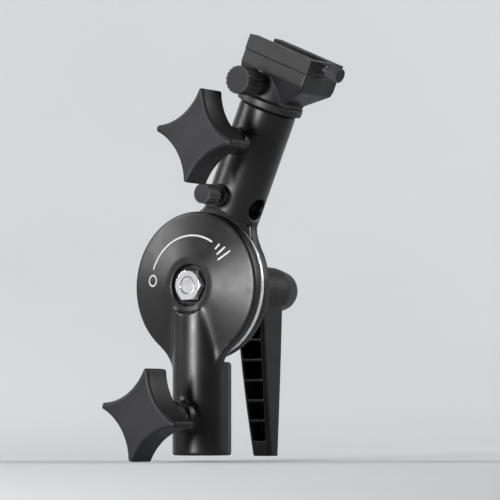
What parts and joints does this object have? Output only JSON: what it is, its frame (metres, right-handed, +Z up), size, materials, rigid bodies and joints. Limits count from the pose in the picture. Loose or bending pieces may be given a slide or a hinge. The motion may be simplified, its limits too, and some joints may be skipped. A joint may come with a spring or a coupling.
{
  "type": "umbrella swivel bracket",
  "caption": "Tilting light-stand bracket with a disc joint, ratchet lever, star knobs, cross hole for an umbrella shaft and a swivelling cold shoe.",
  "frame": {"origin": "centre of the stand socket's mouth", "axes": "+Z up the stand socket, Y along the tilt axis with the ratchet lever at +Y and the knobs at -Y, the arm leans towards +X at rest"},
  "size_m": [0.1081, 0.1122, 0.1897],
  "materials": {
    "painted_metal": "satin black paint over cast aluminium",
    "adapter_metal": "satin black paint",
    "bright_aluminium": "turned",
    "chrome": "bright plated",
    "steel": "plain turned steel",
    "screw_steel": "zinc plated",
    "brass": "turned brass",
    "knob_plastic": "matte moulded",
    "lever_plastic": "matte moulded, glass filled",
    "spigot_metal": "turned",
    "dark_screws": "black oxide"
  },
  "bodies": {
    "stand_half": {"lower_body": "painted_metal", "friction_disc": "bright_aluminium", "pivot_nut": "chrome"},
    "arm": {"upper_body": "painted_metal"},
    "stand_clamp_pad": {"stand_pad": "brass"},
    "stand_clamp_knob": {"stand_screw": "screw_steel", "stand_knob": "knob_plastic"},
    "spigot_clamp_pad": {"spigot_pad": "brass"},
    "spigot_clamp_knob": {"spigot_screw": "screw_steel", "spigot_knob": "knob_plastic"},
    "umbrella_clamp_pad": {"umbrella_pad": "brass"},
    "umbrella_clamp_knob": {"umbrella_screw": "screw_steel", "umbrella_knob": "knob_plastic"},
    "neck_clamp_pad": {"neck_pad": "brass"},
    "neck_clamp_knob": {"neck_screw": "screw_steel", "neck_knob": "knob_plastic"},
    "shoe_lock_tip": {"lock_tip": "brass"},
    "shoe_lock_knob": {"lock_screw": "screw_steel", "lock_knob": "knob_plastic"},
    "joint_washer": {"thrust_washer": "steel"},
    "joint_stud": {"joint_stud": "steel", "lever_screw": "steel", "lever_spring": "steel"},
    "lever": {"lever_handle": "lever_plastic", "lever_insert": "steel"},
    "spigot": {"shoe_spigot": "spigot_metal"},
    "shoe": {"shoe_body": "adapter_metal", "shoe_plate": "adapter_metal", "shoe_plate_screws": "dark_screws"}
  },
  "joints": [
    {"name": "tilt", "type": "hinge", "parent": "stand_half", "child": "arm", "pos_m": [0, 0, 0.0762], "axis": [0, 1, 0], "range_deg": [-113.75, 66.25]},
    {"name": "stand_clamp_travel", "type": "slide", "parent": "stand_half", "child": "stand_clamp_pad", "axis": [0, 1, 0], "range_m": [-0.00375, 0.0025]},
    {"name": "stand_clamp_turn", "type": "hinge", "parent": "stand_clamp_pad", "child": "stand_clamp_knob", "pos_m": [0, 0, 0.01795], "axis": [0, 1, 0], "range_deg": [-1081, 721]},
    {"name": "spigot_clamp_travel", "type": "slide", "parent": "arm", "child": "spigot_clamp_pad", "axis": [0, 1, 0], "range_m": [-0.00375, 0.00106]},
    {"name": "spigot_clamp_turn", "type": "hinge", "parent": "spigot_clamp_pad", "child": "spigot_clamp_knob", "pos_m": [0.02775, 0.003, 0.13926], "axis": [0, 1, 0], "range_deg": [-1081, 307]},
    {"name": "umbrella_clamp_travel", "type": "slide", "parent": "arm", "child": "umbrella_clamp_pad", "axis": [0, 1, 0], "range_m": [-0.0032, 0.0022]},
    {"name": "umbrella_clamp_turn", "type": "hinge", "parent": "umbrella_clamp_pad", "child": "umbrella_clamp_knob", "pos_m": [0.01744, 0.003, 0.11583], "axis": [0, 1, 0], "range_deg": [-1441, 991]},
    {"name": "neck_clamp_travel", "type": "slide", "parent": "shoe", "child": "neck_clamp_pad", "axis": [0, 1, 0], "range_m": [-0.0032, 0.00072]},
    {"name": "neck_clamp_turn", "type": "hinge", "parent": "neck_clamp_pad", "child": "neck_clamp_knob", "pos_m": [0.03886, 0.003, 0.16453], "axis": [0, 1, 0], "range_deg": [-1441, 325]},
    {"name": "shoe_lock_travel", "type": "slide", "parent": "shoe", "child": "shoe_lock_tip", "axis": [-0.9153, 0, 0.4027], "range_m": [-0.0021, 0.0014]},
    {"name": "shoe_lock_turn", "type": "hinge", "parent": "shoe_lock_tip", "child": "shoe_lock_knob", "pos_m": [0.04515, 0.003, 0.17881], "axis": [-0.9153, 0, 0.4027], "range_deg": [-1081, 721]},
    {"name": "joint_clamp_travel", "type": "slide", "parent": "stand_half", "child": "joint_washer", "axis": [0, -1, 0], "range_m": [-0.00187, 0]},
    {"name": "joint_clamp_turn", "type": "hinge", "parent": "joint_washer", "child": "joint_stud", "pos_m": [0, 0, 0.0762], "axis": [0, -1, 0], "range_deg": [-541, 0]},
    {"name": "lever_lift", "type": "slide", "parent": "joint_stud", "child": "lever", "axis": [0, 1, 0], "range_m": [0, 0.006], "stiffness_N_per_m": 400, "springref_m": -0.004, "deforming": ["lever_spring"]},
    {"name": "spigot_swivel", "type": "hinge", "parent": "arm", "child": "spigot", "pos_m": [0.02819, 0.003, 0.14027], "axis": [0.4027, 0, 0.9153], "continuous": true},
    {"name": "shoe_swivel", "type": "hinge", "parent": "spigot", "child": "shoe", "pos_m": [0.03886, 0.003, 0.16453], "axis": [0.4027, 0, 0.9153], "continuous": true}
  ],
  "couplings": [
    {"joint": "stand_clamp_turn", "follows": "stand_clamp_travel", "rad_per_m": 5026.5},
    {"joint": "spigot_clamp_turn", "follows": "spigot_clamp_travel", "rad_per_m": 5026.5},
    {"joint": "umbrella_clamp_turn", "follows": "umbrella_clamp_travel", "rad_per_m": 7854},
    {"joint": "neck_clamp_turn", "follows": "neck_clamp_travel", "rad_per_m": 7854},
    {"joint": "shoe_lock_turn", "follows": "shoe_lock_travel", "rad_per_m": 8976},
    {"joint": "joint_clamp_turn", "follows": "joint_clamp_travel", "rad_per_m": 5026.5}
  ]
}
